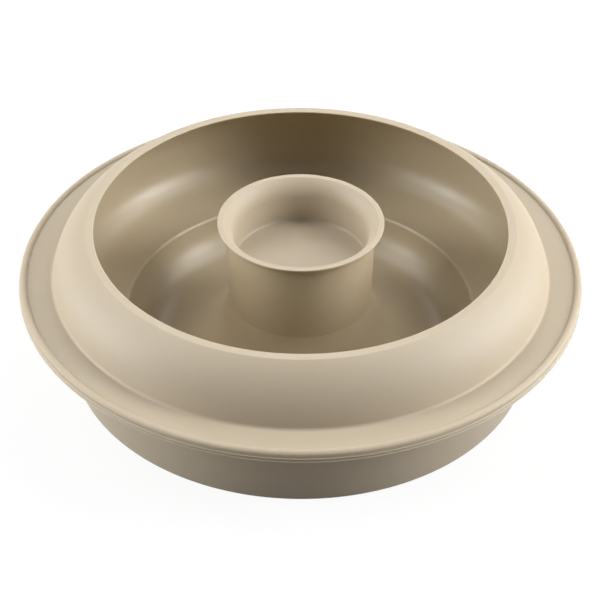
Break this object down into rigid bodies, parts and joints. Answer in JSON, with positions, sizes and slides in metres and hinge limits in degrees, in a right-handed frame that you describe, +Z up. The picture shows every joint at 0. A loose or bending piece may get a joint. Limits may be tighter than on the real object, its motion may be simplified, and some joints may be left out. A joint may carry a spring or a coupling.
{
  "type": "silicone cake mould",
  "caption": "Round silicone ring cake mould with an undercut, stepped ring cavity, a hollow centre post with a flared cup, a flat beaded flange and a support skirt.",
  "frame": {"origin": "centre of the base plane, which the skirt's lower edge stands on", "axes": "+Z up along the axis that the whole form is turned about; X and Y are equal by symmetry"},
  "size_m": [0.2084, 0.2084, 0.0558],
  "materials": {
    "silicone": "satin"
  },
  "bodies": {
    "root": {"cake_mould": "silicone"}
  },
  "joints": []
}
